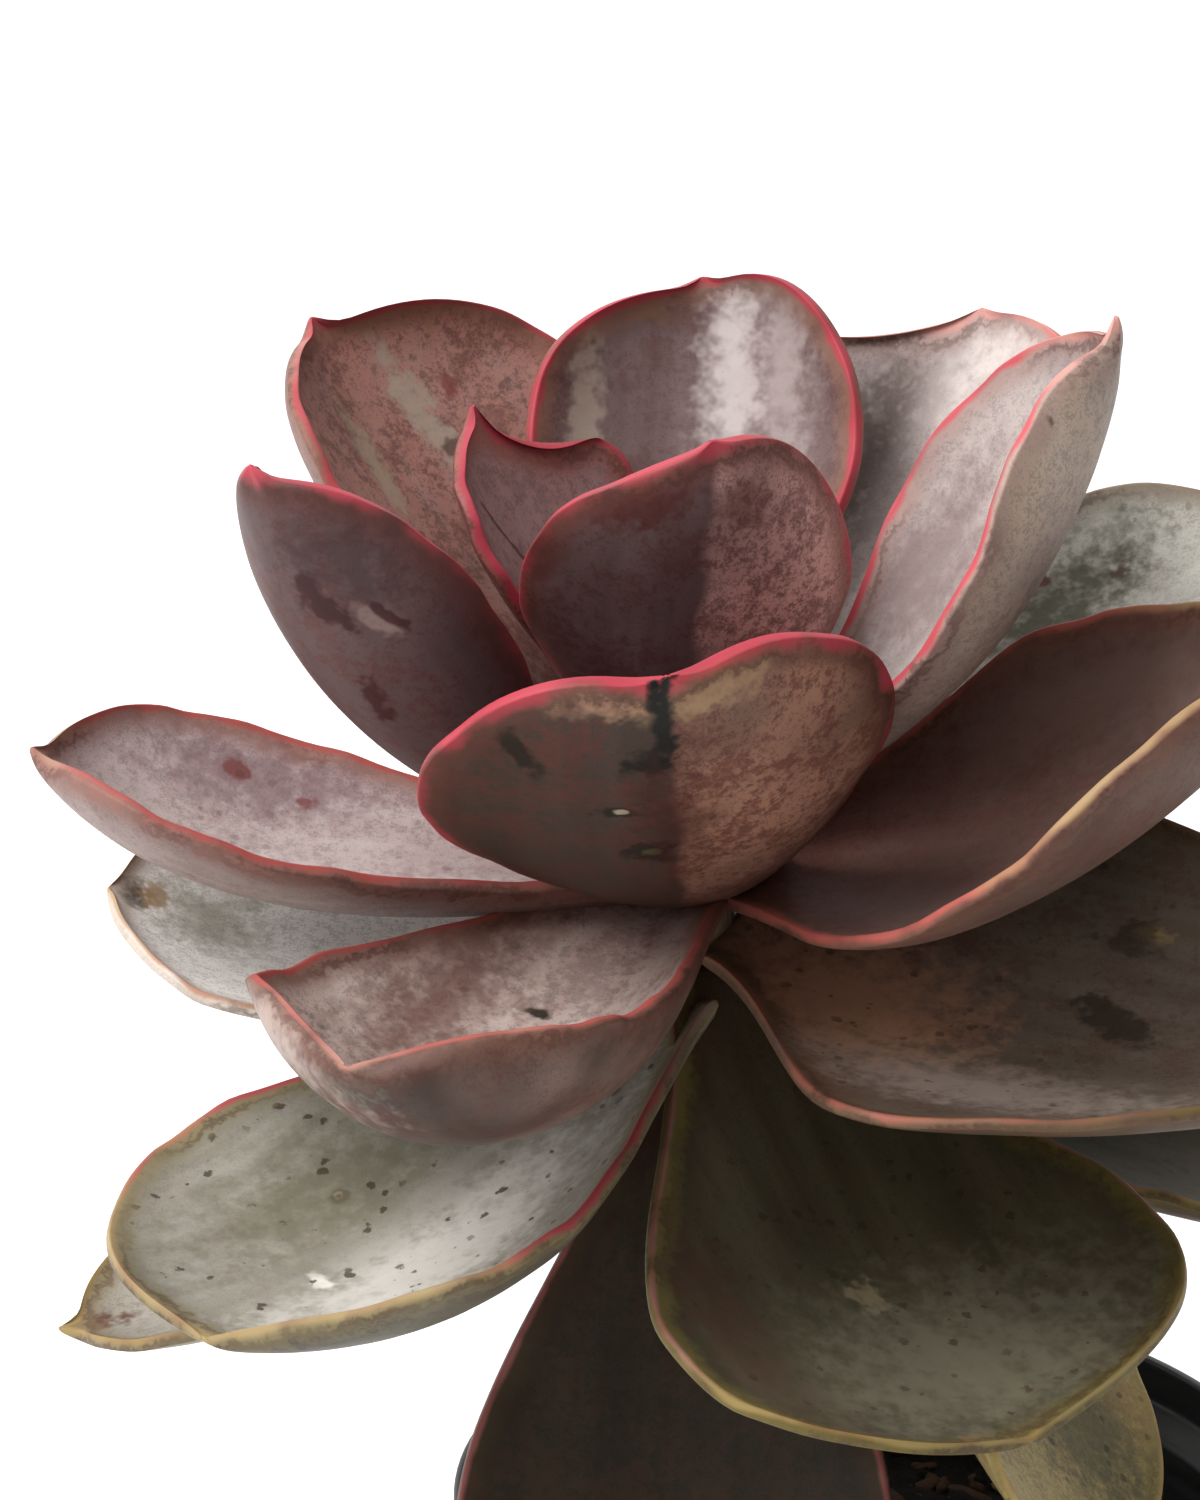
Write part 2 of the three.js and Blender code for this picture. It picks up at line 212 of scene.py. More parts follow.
usualLeaf = dict(
    base=0.27, peak=0.66, blunt=2.6, cup=(30, 30), lobe=(0, 0), roll=(0, 0, 0), swing=0, wave=0, waves=2,
    thick=0.0036, edge=0.0014, rows=28, columns=20,
    keel=0.0006, keelWidth=0.006,       # ridge down the outer face
    groove=0.0003,                      # shallow channel down the hollow face
    ripple=0.0003, ripples=5,           # small unevenness of the margin
    hook=0.0016, hookWidth=0.0012, hookLift=0.3,   # pointed tip: its length, half width and upward turn
)

# turn: direction, and swing: how far it veers. at: height of the root above the crown. rise and roll: slope
# and twist at the root, in the middle and at the tip. cup and lobe: curl of each half and reach of its
# shoulder past the midrib, the half on the left first, seen from the stem. base, peak and blunt: width at
# the root, place of the greatest width and fullness of the end. wave: height of the waves of the margin
leaves = [
    dict(turn=150, at=.018, length=.042, width=.037, rise=(48, 56, 66), cup=(40, 40), lobe=(0, -.005),
         hook=.0022, look="young", slot="upper_leaf"),
    dict(turn=272, at=.014, length=.052, width=.0405, rise=(55, 66, 78), cup=(40, 35), lobe=(.001, -.002),
         swing=20, peak=.56, blunt=2.1, hook=.0008, look="mauve", slot="upper_leaf"),
    dict(turn=85, at=.016, length=.058, width=.044, rise=(42, 55, 70), cup=(45, 45), lobe=(0, .003),
         peak=.64, hook=.0014, look="upper", slot="upper_leaf"),
    dict(turn=216, at=.012, length=.077, width=.038, rise=(0, 45, 70), cup=(60, 80), roll=(8, 20, 8),
         hook=.0018, look="dusky", slot="upper_leaf"),
    dict(turn=345, at=.008, length=.078, width=.047, rise=(36, 52, 80), cup=(45, 66), roll=(0, 24, 5),
         hook=.0032, look="silver", slot="upper_leaf"),
    dict(turn=149, at=.013, length=.067, width=.063, rise=(32, 45, 60), cup=(50, 50), lobe=(0, .001),
         hook=.0022, look="rosy", slot="upper_leaf"),
    dict(turn=45, at=.012, length=.068, width=.058, rise=(35, 44, 60), cup=(35, 25), lobe=(-.005, .002),
         base=.2, hook=.001, look="silver", slot="upper_leaf"),
    dict(turn=266, at=.002, length=.065, width=.056, rise=(15, 42, 60), cup=(43, 18), lobe=(.002, .003),
         roll=(4, 8, 14), base=.4, hook=.0014, look="wine", slot="upper_leaf"),
    dict(turn=115, at=.005, length=.072, width=.050, rise=(18, 27, 40), cup=(40, 40), look="middle",
         slot="middle_leaf"),
    dict(turn=24, at=.004, length=.080, width=.046, rise=(14, 23, 33), cup=(45, 45), look="greyGreen",
         slot="middle_leaf"),
    dict(turn=70, at=.001, length=.074, width=.048, rise=(6, 14, 26), cup=(35, 35), look="middle",
         slot="middle_leaf"),
    dict(turn=186, at=.002, length=.076, width=.044, rise=(-2, 9, 46), cup=(60, 40), roll=(-3, -8, -5),
         base=.5, hook=.0018, look="lavender", slot="middle_leaf"),
    dict(turn=327, at=.003, length=.084, width=.060, rise=(10, 25, 62), cup=(50, 40), roll=(18, 21, 5),
         peak=.52, look="plum", slot="middle_leaf"),
    dict(turn=242, at=0, length=.075, width=.058, rise=(-8, -8, 63), cup=(78, 48), lobe=(.0015, 0),
         swing=-10, base=.36, peak=.6, blunt=5, hook=.0008, look="blush", slot="middle_leaf"),
    dict(turn=17, at=0, length=.076, width=.040, rise=(9, 12, 14), look="lower", slot="lower_leaf"),
    dict(turn=334, at=-.005, length=.084, width=.076, rise=(-12, -2, 12), cup=(20, 40), roll=(22, 14, 6),
         base=.18, peak=.42, blunt=2, look="olive", slot="middle_leaf"),
    dict(turn=96, at=-.003, length=.078, width=.050, rise=(0, 6, 14), cup=(35, 35), look="middle",
         slot="middle_leaf"),
    dict(turn=148, at=-.008, length=.072, width=.046, rise=(-14, -9, -2), look="lower", slot="lower_leaf"),
    dict(turn=50, at=-.009, length=.078, width=.048, rise=(-10, -4, 4), cup=(35, 35), look="lower",
         slot="lower_leaf"),
    dict(turn=182, at=-.007, length=.066, width=.050, rise=(-2, 2, 33), roll=(-5, -11, -10), hook=.0008,
         look="whitish", slot="middle_leaf"),
    dict(turn=222, at=-.0125, length=.075, width=.070, rise=(-35, -20, 10), cup=(52, 23),
         lobe=(-.001, .004), base=.32, peak=.62, hook=.0008, look="speckled", slot="lower_leaf"),
    dict(turn=302, at=-.008, length=.075, width=.069, rise=(-50, -30, 0), cup=(25, 25), lobe=(0, .002),
         base=.24, peak=.68, hook=.0006, look="oldest", slot="oldest_leaf"),
    dict(turn=122, at=-.013, length=.076, width=.048, rise=(-22, -16, -6), look="lower",
         slot="lower_leaf"),
    dict(turn=25, at=-.014, length=.076, width=.048, rise=(-18, -14, -6), look="lower", slot="lower_leaf"),
    dict(turn=8, at=-.019, length=.076, width=.044, rise=(-27, -22, -15), look="oldest",
         slot="oldest_leaf"),
    dict(turn=74, at=-.018, length=.074, width=.048, rise=(-30, -26, -16), look="lower",
         slot="lower_leaf"),
    dict(turn=265, at=-.018, length=.066, width=.052, rise=(-55, -62, -50), cup=(20, 20), peak=.88,
         look="deepGreen", slot="oldest_leaf"),
    dict(turn=148, at=-.019, length=.066, width=.044, rise=(-28, -26, -16), cup=(25, 25), look="lower",
         slot="lower_leaf"),
    dict(turn=190, at=-.022, length=.078, width=.038, rise=(-34, -24, -6), hook=.0026, look="lower",
         slot="oldest_leaf"),
    dict(turn=348, at=-.027, length=.076, width=.066, rise=(-42, -50, -45), cup=(25, 25), wave=.002,
         look="dying", slot="oldest_leaf"),
    dict(turn=48, at=-.023, length=.066, width=.038, rise=(-34, -34, -30), cup=(22, 22), look="oldest",
         slot="oldest_leaf"),
    dict(turn=114, at=-.027, length=.062, width=.042, rise=(-42, -38, -25), cup=(22, 22), look="oldest",
         slot="oldest_leaf"),
]


def between(three, u):
    root, middle, tip = three
    return root * (1 - u) * (1 - 2 * u) + middle * 4 * u * (1 - u) + tip * u * (2 * u - 1)


def stemPoint(at):
    crown, soilAt = plant["crown"], plant["soilTop"] - plant["crown"].z
    lean = plant["upperLean"] * at if at > 0 else -crown.x * (max(at, soilAt) / soilAt) ** 2
    return np.array((crown.x + lean, crown.y, crown.z + at))


def widthShare(leaf, u):
    peak = leaf["peak"]
    rising = leaf["base"] + (1 - leaf["base"]) * smoothed(u, 0, peak)
    falling = np.sqrt(1 - np.clip((u - peak) / (1 - peak), 0, 1) ** leaf["blunt"])
    return np.where(u < peak, rising, falling)


def leafAxes(leaf, u):
    slope, roll = np.radians(between(leaf["rise"], u)), np.radians(between(leaf["roll"], u))
    turn = np.radians(leaf["turn"] + leaf["swing"] * u * u)
    along = np.stack((np.cos(slope) * np.cos(turn), np.cos(slope) * np.sin(turn), np.sin(slope)), 1)
    flat = np.stack((-np.sin(turn), np.cos(turn), 0 * turn), 1)
    across = flat * np.cos(roll)[:, None] + np.cross(along, flat) * np.sin(roll)[:, None]
    return along, across, np.cross(along, across)


def midribPoints(leaf, u):
    steps = leafRule["steps"]
    along, _, _ = leafAxes(leaf, (np.arange(steps) + 0.5) / steps)
    turn = math.radians(leaf["turn"])
    root = stemPoint(leaf["at"]) + leafRule["rootReach"] * np.array((math.cos(turn), math.sin(turn), 0))
    line = np.vstack((root, root + np.cumsum(along, 0) * leaf["length"] / steps))
    marks = np.linspace(0, 1, steps + 1)
    return np.stack([np.interp(u, marks, line[:, axis]) for axis in range(3)], 1)


def leafPoints(leaf, u, t, hollow, seed):
    rule = leafRule
    along, across, inward = leafAxes(leaf, u)
    share = widthShare(leaf, u)
    halfWidth = (leaf["width"] / 2 - rule["inset"]) * share
    side = np.where(t > 0, 0, 1)
    curl = np.radians(np.array(leaf["cup"], float)[side])
    curl = curl * (rule["rootCurl"] + (1 - rule["rootCurl"]) * smoothed(u, 0, 0.5))
    size = np.abs(t)
    wave = leaf["wave"] * size ** 4 * np.sin(2 * np.pi * (leaf["waves"] * u + side / 4)) * share
    phase = seed * rule["rippleStart"][0] + side * rule["rippleStart"][1]
    rippleTurns = 2 * np.pi * leaf["ripples"] * u
    faster, lower = rule["secondRipple"]
    ripples = np.sin(rippleTurns + phase) + lower * np.sin(rippleTurns * faster + 2 * phase)
    wave = wave + leaf["ripple"] * size ** 5 * share * ripples
    sideways = halfWidth * np.sin(curl * t) / curl
    lift = halfWidth * (1 - np.cos(curl * t)) / curl + wave
    overhang = smoothed(u, rule["shoulderStart"], 1) * np.sin(np.pi * share) * size ** 1.5
    normal = inward * np.cos(curl * t)[:, None] - across * np.sin(curl * t)[:, None]
    nearTip = np.exp(-(sideways / leaf["hookWidth"]) ** 2) * smoothed(u, rule["hookFrom"], 1)
    point = midribPoints(leaf, u) + across * sideways[:, None] + inward * lift[:, None]
    reach = np.array(leaf["lobe"])[side] * overhang + leaf["hook"] * nearTip
    reach -= rule["inset"] * smoothed(u, rule["insetFrom"], 1)
    point += along * reach[:, None]
    point += inward * (leaf["hook"] * leaf["hookLift"] * nearTip ** 2)[:, None]
    flesh = leaf["thick"] * (rule["rootThick"] + (rule["tipThick"] - rule["rootThick"]) * u) - leaf["edge"]
    body = flesh * (1 - size ** 2.5) * np.minimum(1, (1 - u) * rule["tipThinning"])
    thickness = np.maximum(rule["thinnest"], leaf["edge"] + body) * (1 - rule["hookThinning"] * nearTip)
    ridge = np.exp(-np.abs(sideways) / leaf["keelWidth"]) * smoothed(u, *rule["keelFrom"])
    ridge *= 1 - rule["keelLoss"] * smoothed(u, *rule["keelTo"])
    inner = thickness * rule["innerShare"] - leaf["groove"] * ridge
    outer = thickness * (rule["innerShare"] - 1) - leaf["keel"] * ridge
    return point + normal * np.where(hollow > 0.5, inner, outer)[:, None], halfWidth * t


# the rim of the hollow face, along one side to the tip and back along the other
def marginLine(leaf, seed):
    count = leafRule["marginSteps"]
    q = np.linspace(0, 1, count)
    u = np.sin(q * np.pi / 2) ** leafRule["crowding"]
    u = np.concatenate((u, u[::-1]))
    t = np.repeat((1.0, -1.0), count)
    return leafPoints(leaf, u, t, np.ones(len(u)), seed)[0]


def distanceTo(line, points):
    squared = ((points[:, None, :] - line[None, :, :]) ** 2).sum(2)
    return np.sqrt(squared.min(1))


def leafPiece(leaf, seed):
    clearSelection()
    bpy.ops.mesh.primitive_grid_add(x_subdivisions=leaf["columns"], y_subdivisions=leaf["rows"], size=1)
    piece = bpy.context.object
    bpy.ops.object.mode_set(mode="EDIT")
    bpy.ops.mesh.select_all(action="SELECT")
    bpy.ops.mesh.extrude_region_move(TRANSFORM_OT_translate={"value": (0, 0, -1)})
    bpy.ops.object.mode_set(mode="OBJECT")
    grid = pointsOf(piece)
    hollow = 1 + grid[:, 2]
    u = np.sin((grid[:, 1] + 0.5) * np.pi / 2) ** leafRule["crowding"]
    t = np.sin(grid[:, 0] * np.pi)
    points, offset = leafPoints(leaf, u, t, hollow, seed)
    movePoints(piece, points)
    pointValues(piece, "place", np.stack((offset, u * leaf["length"], hollow), 1), "FLOAT_VECTOR")
    pointValues(piece, "along", u)
    bpy.ops.object.mode_set(mode="EDIT")
    bpy.ops.mesh.select_all(action="SELECT")
    bpy.ops.mesh.remove_doubles(threshold=1e-6)
    bpy.ops.mesh.normals_make_consistent(inside=False)
    bpy.ops.object.mode_set(mode="OBJECT")
    smooth = piece.modifiers.new("smooth", "SUBSURF")
    smooth.levels = smooth.render_levels = 1
    applyAll(piece)
    bpy.ops.object.shade_smooth()
    pointValues(piece, "margin", distanceTo(marginLine(leaf, seed), pointsOf(piece)))
    return piece


# What covers the leaves, in three lines for each look.
# flesh: hollow face. back: outer face, and half: its tone beyond the keel. Where a look has half, the two are
# painted shade and painted light on the two sides of the keel, together with worn bloom. root and deep: tones
# towards the stem and in broad patches; the root tone, where darker than the flesh, is painted shade near the
# crown.
# pale and bloom: colour and amount of the waxy bloom. thin: share of it on the outer face. flush and specks:
# amounts of fine red mottling and of dark specks.
# rim and straw: colours of the rim, and strawFrom: share of the length where it turns straw, 2 for never.
# edge: width of the rim. fringe: band inside it
leafLooks = dict(
    young=dict(flesh="8c6663", back="9a6e6c", root="6b4443", deep="66454a",
               pale="b7a3a1", bloom=.3, thin=1, flush=.25, specks=.05,
               rim="a83848", straw="b8525a", strawFrom=2, edge=.0009, fringe="8a4a40"),
    upper=dict(flesh="594040", back="6a4e4c", root="43292a", deep="452e2e",
               pale="b0a29e", bloom=.26, thin=.8, flush=.35, specks=.15,
               rim="aa3a47", straw="b07c68", strawFrom=.97, edge=.0010, fringe="805a4a"),
    # mauve: back is painted shade and half painted light on the two sides of the keel, with worn bloom
    mauve=dict(flesh="6d5153", back="57403f", half="d8a59e", root="472f30", deep="452a2c",
               pale="a18e8b", bloom=.28, thin=1, flush=.5, specks=.1,
               rim="ab3846", straw="b98470", strawFrom=2, edge=.0015, fringe="6e3c34"),
    # wine: back is painted shade and half painted light on the two sides of the keel, with worn bloom
    wine=dict(flesh="6d5153", back="33251b", half="9a6e5a", root="4b322f", deep="2c1f1a",
              pale="97857c", bloom=.12, thin=1, flush=.6, specks=.3,
              rim="ab3846", straw="b98470", strawFrom=2, edge=.0017, fringe="5d3a30"),
    dusky=dict(flesh="6d5153", back="4f3838", root="3b2627", deep="3b2729",
               pale="a18e8b", bloom=.16, thin=1, flush=.5, specks=.2,
               rim="ab3846", straw="b98470", strawFrom=2, edge=.0015, fringe="57302c"),
    rosy=dict(flesh="a87062", back="7a5148", root="4b2e2b", deep="80524a",
              pale="b0a29e", bloom=.3, thin=.8, flush=.45, specks=.2,
              rim="a8434a", straw="a27a66", strawFrom=.97, edge=.0009, fringe="805a4a"),
    silver=dict(flesh="9b8b86", back="b39c88", root="453538", deep="6b5755",
                pale="cac0bc", bloom=.58, thin=.8, flush=.1, specks=.1,
                rim="bb4852", straw="c58a80", strawFrom=.8, edge=.0009, fringe="9c8078"),
    middle=dict(flesh="8b746e", back="83695f", root="593c33", deep="5d4640",
                pale="c0b5af", bloom=.5, thin=.7, flush=.2, specks=.3,
                rim="ac5050", straw="b58c6c", strawFrom=.6, edge=.0008, fringe="8a6656"),
    greyGreen=dict(flesh="a9a59a", back="80705f", root="6b4a3c", deep="6a6752",
                   pale="e0ddd4", bloom=.7, thin=.6, flush=.1, specks=.5,
                   rim="a3766b", straw="a0907c", strawFrom=.3, edge=.0005, fringe="8d7d6c"),
    lavender=dict(flesh="a18b89", back="775d56", root="7d564f", deep="7d6062",
                  pale="ccc2be", bloom=.6, thin=.8, flush=.2, specks=.4,
                  rim="a04a45", straw="9c7866", strawFrom=.9, edge=.0009, fringe="83574b"),
    plum=dict(flesh="543830", back="5a4034", root="6a3f36", deep="33211c",
              pale="87746d", bloom=.26, thin=.9, flush=.3, specks=.3,
              rim="a8564c", straw="9c805a", strawFrom=.6, edge=.0009, fringe="6d493c"),
    blush=dict(flesh="a88e84", back="301e14", root="7d5449", deep="80645a",
               pale="d6c9c1", bloom=.62, thin=.08, flush=.35, specks=.4,
               rim="9a4742", straw="a5786a", strawFrom=.9, edge=.0008, fringe="6b473b"),
    olive=dict(flesh="574837", back="4a3828", root="93654f", deep="372c20",
               pale="9f9083", bloom=.34, thin=.4, flush=.35, specks=.7,
               rim="99584b", straw="66532f", strawFrom=.5, edge=.0007, fringe="64503a"),
    # whitish: flesh and pale lighter than the leaf's own colour, painted light where the leaf above shades it
    whitish=dict(flesh="ddd6d0", back="b5aba2", root="a78e82", deep="cbc6ba",
                 pale="f2eeea", bloom=.85, thin=.8, flush=.05, specks=.4,
                 rim="a97264", straw="a0835f", strawFrom=.7, edge=.0005, fringe="b5a698"),
    speckled=dict(flesh="726c5a", back="494337", root="7b7365", deep="5b563f",
                  pale="ccc8c1", bloom=.46, thin=.2, flush=.1, specks=1,
                  rim="a8424a", straw="98835c", strawFrom=.66, edge=.0009, fringe="7d7150"),
    lower=dict(flesh="857e70", back="7a6e60", root="64503f", deep="57523f",
               pale="b7b1a8", bloom=.55, thin=.7, flush=.15, specks=.7,
               rim="99544e", straw="90794c", strawFrom=.5, edge=.0006, fringe="7d6d4b"),
    oldest=dict(flesh="37321f", back="4b3a2c", root="2e120a", deep="272012",
                pale="8a8668", bloom=.3, thin=.7, flush=.15, specks=.8,
                rim="8a6054", straw="8f7a4a", strawFrom=.6, edge=.0006, fringe="6b6030"),
    deepGreen=dict(flesh="211a0f", back="3a2a20", root="2a110a", deep="1f180e",
                   pale="665e4b", bloom=.14, thin=.7, flush=.15, specks=.6,
                   rim="8c5450", straw="8a6052", strawFrom=.9, edge=.0007, fringe="3d3220"),
    dying=dict(flesh="c4ab64", back="a08a5e", root="6b5a3a", deep="7c6f48",
               pale="b9ae8e", bloom=.3, thin=.7, flush=.2, specks=.7,
               rim="b0906a", straw="cbaf72", strawFrom=.2, edge=.0006, fringe="a08f55"),
)

# Scars, spots and streaks by leaf, and one patch of painted shade. x and y: place across and along, in
# metres. face: 1 hollow, 0 outer.
# wide and long: half sizes, and turn: turned by so many degrees. soft: how far the edge fades, usually 0.4.
# strength: share that covers the skin, usually all. over: drawn over the rim as well
leafMarks = {
    1: [dict(face=1, x=.006, y=.028, wide=.0004, long=.006, turn=-30, colour="3f2322", strength=.8)],
    2: [
        dict(face=0, x=-.0075, y=.046, wide=.005, long=.0028, colour="542a28", strength=.8),
        dict(face=0, x=.0035, y=.0455, wide=.0022, long=.003, colour="5d352d", soft=.6, strength=.6),
    ],
    3: [
        dict(face=1, x=-.004, y=.046, wide=.0030, long=.017, colour="cfc5c1", soft=.9, strength=.7),
        dict(face=1, x=-.0105, y=.046, wide=.0036, long=.012, colour="b0a29f", soft=.9, strength=.6),
        dict(face=1, x=.0145, y=.041, wide=.0022, long=.008, colour="a8998a", soft=.6, strength=.6),
        dict(face=1, x=.006, y=.0545, wide=.004, long=.0012, colour="6b5140", soft=.5, strength=.6),
    ],
    4: [
        dict(face=0, x=.0035, y=.062, wide=.0016, long=.004, turn=20, colour="3a1513"),
        dict(face=0, x=.0025, y=.0475, wide=.0012, long=.004, turn=-15, colour="3d1816"),
        dict(face=0, x=.008, y=.0585, wide=.0011, long=.0026, turn=25, colour="8d7671", strength=.8),
        dict(face=0, x=.0095, y=.058, wide=.0006, long=.0026, turn=25, colour="3a1513", strength=.9),
        dict(face=0, x=.0075, y=.067, wide=.006, long=.006, colour="2c1415", soft=.8, strength=.6),
    ],
    5: [
        dict(face=0, x=-.0147, y=.0715, wide=.0005, long=.0006, colour="241c1a"),
        dict(face=1, x=.0100, y=.052, wide=.0005, long=.0006, colour="3a2a2a"),
        dict(face=1, x=.002, y=.045, wide=.0016, long=.018, colour="d2c8c4", soft=.9, strength=.6),
        dict(face=1, x=.0115, y=.038, wide=.0075, long=.014, colour="74615f", soft=.9, strength=.7),
    ],
    6: [
        dict(face=1, x=-.009, y=.0515, wide=.0022, long=.0085, turn=-8, colour="a5998a", soft=.5,
             strength=.7),
        dict(face=1, x=.0035, y=.0495, wide=.0018, long=.006, colour="a2957f", soft=.5, strength=.7),
        dict(face=1, x=-.0100, y=.0475, wide=.0016, long=.0010, colour="5a3f37", soft=.3, strength=.8),
        dict(face=1, x=-.0150, y=.0545, wide=.0012, long=.0016, colour="7b3f3d", strength=.7),
    ],
    7: [
        # a dark soft patch of painted shade over one side of the hollow
        dict(face=1, x=.0065, y=.048, wide=.0048, long=.018, colour="54453e", soft=.9, strength=.9),
        dict(face=1, x=-.0120, y=.058, wide=.010, long=.016, colour="d6cbc6", soft=.9, strength=.6),
    ],
    8: [
        dict(face=0, x=-.0027, y=.0545, wide=.0024, long=.0021, colour="0d110a", strength=.95),
        dict(face=0, x=-.0062, y=.0455, wide=.0022, long=.0011, colour="15150d", strength=.9),
        dict(face=0, x=-.0058, y=.0455, wide=.0009, long=.0005, colour="a49a84", strength=.9),
        dict(face=0, x=-.0033, y=.036, wide=.0026, long=.0022, colour="11120a", strength=.9),
        dict(face=0, x=-.0030, y=.036, wide=.0010, long=.0008, colour="4c4c30", strength=.9),
        dict(face=0, x=.0002, y=.044, wide=.0032, long=.0120, colour="3c1614", soft=.9, strength=.6),
        dict(face=0, x=-.0007, y=.0605, wide=.0012, long=.0055, colour="0c0c07", strength=1.0, over=True),
        dict(face=0, x=-.0165, y=.057, wide=.0011, long=.0040, turn=30, colour="1c150d", strength=.9),
        dict(face=0, x=.0040, y=.0635, wide=.0085, long=.0022, colour="a98b68", soft=.8, strength=.65),
        dict(face=0, x=-.0090, y=.0635, wide=.0060, long=.0017, colour="b08a70", soft=.8, strength=.6),
    ],
    10: [
        dict(face=1, x=.0096, y=.054, wide=.0058, long=.013, colour="454430", soft=.8, strength=.9),
        dict(face=1, x=.0160, y=.057, wide=.0008, long=.0008, colour="c9bcae"),
        dict(face=1, x=.0142, y=.055, wide=.0012, long=.0012, colour="5a3629", strength=.9),
        dict(face=1, x=.0084, y=.0635, wide=.0010, long=.0012, colour="4a3324", strength=.9),
    ],
    12: [
        dict(face=1, x=-.0140, y=.049, wide=.0050, long=.014, colour="6d5054", soft=.8, strength=.7),
        dict(face=1, x=-.0150, y=.051, wide=.0012, long=.0018, colour="6b3434", strength=.8),
        dict(face=1, x=-.0120, y=.042, wide=.0010, long=.0012, colour="6b3434", strength=.8),
        dict(face=1, x=.0060, y=.040, wide=.0045, long=.022, colour="cfc5c2", soft=.9, strength=.6),
    ],
    13: [
        dict(face=1, x=-.0160, y=.047, wide=.0009, long=.0016, colour="1f1713"),
        dict(face=1, x=.0190, y=.050, wide=.0080, long=.024, colour="6a544c", soft=.9, strength=.5),
    ],
    14: [
        dict(face=1, x=-.0037, y=.0275, wide=.0013, long=.0007, colour="26221a", strength=.95),
        dict(face=1, x=-.0010, y=.0720, wide=.0030, long=.0026, colour="2a241c", strength=.9),
        dict(face=0, x=-.0005, y=.0735, wide=.0038, long=.0030, colour="3a3329", strength=.9),
        dict(face=0, x=-.0170, y=.0700, wide=.012, long=.006, colour="b09d94", soft=.8, strength=.7),
        dict(face=1, x=-.0148, y=.030, wide=.0060, long=.016, colour="664740", soft=.9, strength=.8),
    ],
    16: [
        dict(face=1, x=.0190, y=.048, wide=.0016, long=.0020, colour="927a55", strength=.9),
        dict(face=1, x=.0180, y=.046, wide=.0030, long=.0030, colour="33241a", strength=.7),
        dict(face=1, x=.0030, y=.0485, wide=.0026, long=.0060, turn=30, colour="2e2014", strength=.8),
        dict(face=1, x=-.0180, y=.040, wide=.0055, long=.022, colour="a5958a", soft=.9, strength=.75),
        dict(face=1, x=-.0060, y=.019, wide=.0090, long=.013, colour="b58468", soft=.9, strength=.8),
    ],
    20: [
        dict(face=1, x=-.0010, y=.0640, wide=.0022, long=.0026, colour="3a2c22", strength=.95),
        dict(face=1, x=-.0020, y=.0610, wide=.0020, long=.0018, colour="a27a4c", strength=.8),
        dict(face=1, x=-.0015, y=.0540, wide=.0060, long=.0060, colour="7d7a66", soft=.9, strength=.7),
    ],
    21: [
        dict(face=1, x=-.0020, y=.0565, wide=.0034, long=.0020, colour="6f6c5c", strength=.7),
        dict(face=1, x=-.0018, y=.0570, wide=.0022, long=.0010, colour="dcd7d0", strength=.9),
        dict(face=1, x=-.0134, y=.045, wide=.0013, long=.0013, colour="5b5140", strength=.85),
        dict(face=1, x=-.0134, y=.045, wide=.0006, long=.0006, colour="b9a592", strength=.9),
        dict(face=1, x=.0070, y=.047, wide=.0085, long=.022, colour="c9c4bd", soft=.9, strength=.75),
        dict(face=1, x=-.0140, y=.045, wide=.0080, long=.017, colour="59543f", soft=1, strength=.7),
    ],
    22: [
        dict(face=1, x=-.0030, y=.047, wide=.0019, long=.0022, colour="8b7d60", strength=.85),
        dict(face=1, x=-.0190, y=.0712, wide=.0030, long=.0014, colour="33241a", strength=.9),
        dict(face=1, x=-.0073, y=.0735, wide=.0020, long=.0013, colour="6b4a33", strength=.9),
        dict(face=1, x=.0020, y=.0610, wide=.0200, long=.0110, colour="807a68", soft=.9, strength=.55),
        dict(face=1, x=-.0240, y=.045, wide=.0050, long=.018, colour="4a2c20", soft=.9, strength=.6),
    ],
    29: [dict(face=1, x=0, y=.0765, wide=.0024, long=.0036, colour="4f2d1c", soft=.4, strength=.95)],
    30: [
        dict(face=1, x=.0100, y=.060, wide=.0110, long=.013, colour="5d5c46", soft=.7, strength=.75),
        dict(face=1, x=.0210, y=.055, wide=.0040, long=.018, colour="a98a60", soft=.9, strength=.6),
    ],
}


# Sizes of the skin's patterns, as noise scales, and the tones that all the leaves share
skin = dict(broad=45, patchy=160, grain=800, fine=3200, streaks=(260, 26, 1), tear=380, specks=520,
            mottling="5e2f29", shadow="2b1f1a", speck="3a2f22", lining="40261f", darkRim="7a3036",
            fringeWidth=.0032, liningAt=.0008, liningWidth=.0009, keelWander=.0006, raggedness=.0011)


def skinPatterns(f, seed):
    shift = (seed * 0.37, seed * 0.71, seed * 0.19)
    place = f.attribute("place", "Vector")
    parts = f.node("ShaderNodeSeparateXYZ", {0: place}).outputs
    body = f.mapped(f.place(), location=shift)
    return SimpleNamespace(
        place=place, body=body, across=parts["X"], hollow=parts["Z"],
        inside=f.step(parts["Z"], 0.3, 0.7),        # 1 on the hollow face, 0 on the outer one
        margin=f.attribute("margin"),               # metres from the margin
        along=f.attribute("along"),                 # 0 at the root, 1 at the tip
        broad=f.noise(body, skin["broad"], 2),
        patchy=f.noise(body, skin["patchy"], 2),
        grain=f.noise(body, skin["grain"], 2, 0.7),
        fine=f.noise(body, skin["fine"], 1, 0.7),
        streaks=f.noise(f.mapped(place, skin["streaks"], shift), 1, 2, 0.6),
    )


